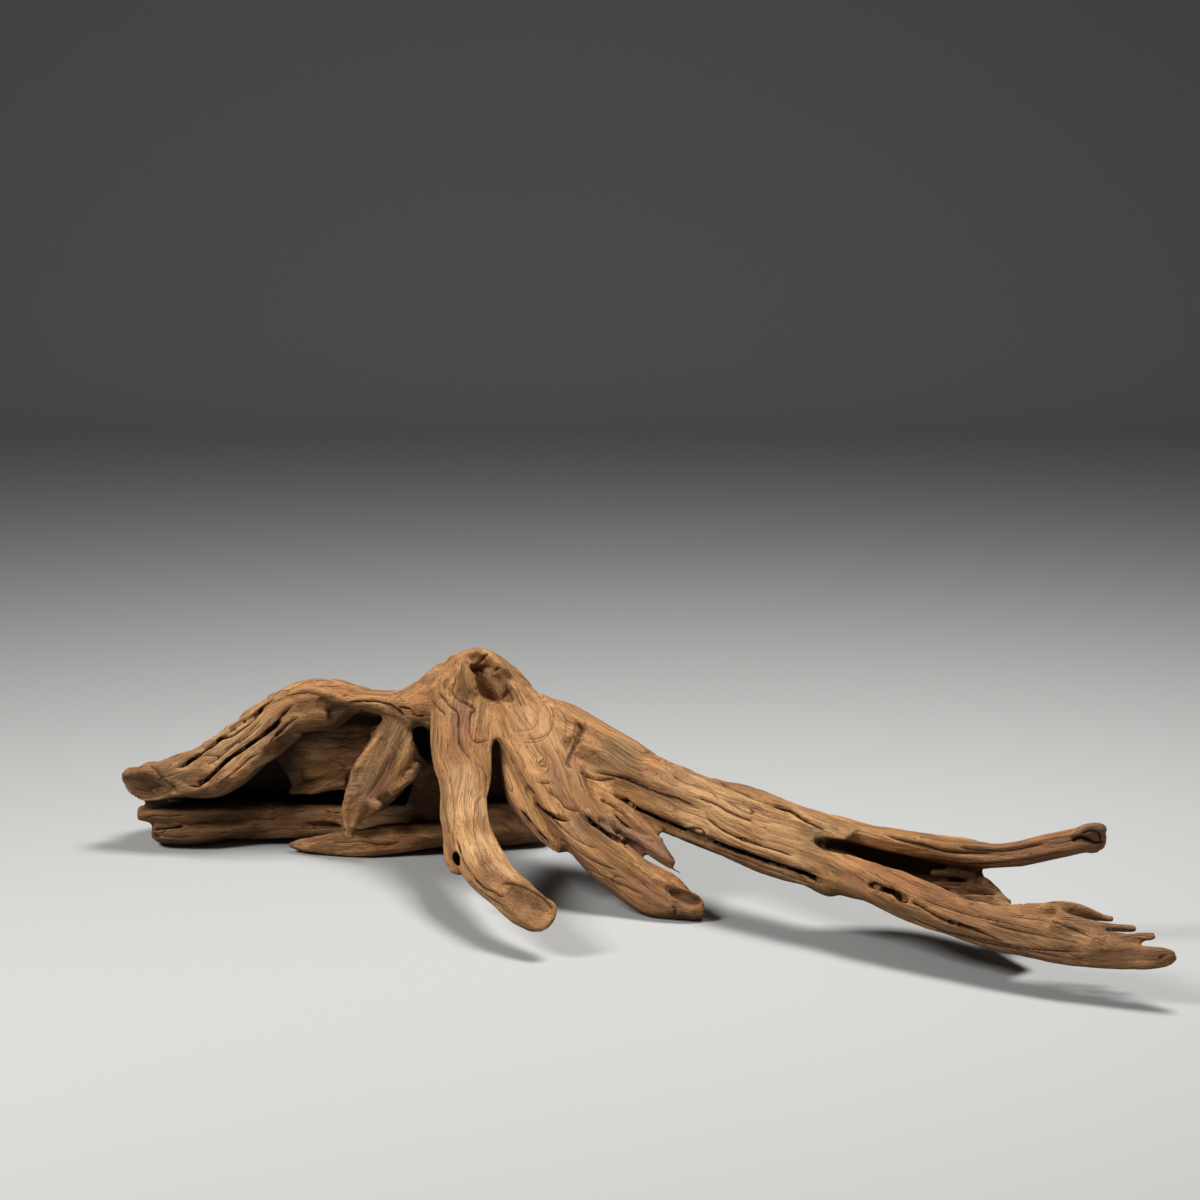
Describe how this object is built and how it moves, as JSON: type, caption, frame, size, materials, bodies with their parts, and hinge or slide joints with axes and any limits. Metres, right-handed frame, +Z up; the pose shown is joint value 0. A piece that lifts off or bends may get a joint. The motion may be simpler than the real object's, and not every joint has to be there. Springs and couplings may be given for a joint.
{
  "type": "malaysian driftwood piece",
  "caption": "Piece of Malaysian driftwood: a hollow log side and a knotted crown, with short root legs reaching forward and a long limb that forks into prongs, water-worn along the grain.",
  "frame": {"origin": "middle of the footprint's bounding box, on the surface that the piece rests on", "axes": "+X from the hollow log to the forked limb along the longest extent, +Y to the back, away from the root legs, +Z up"},
  "size_m": [0.7268, 0.439, 0.1669],
  "materials": {
    "weathered_wood": "dry, matt, water-worn bare wood"
  },
  "bodies": {
    "root": {"driftwood": "weathered_wood"}
  },
  "joints": []
}
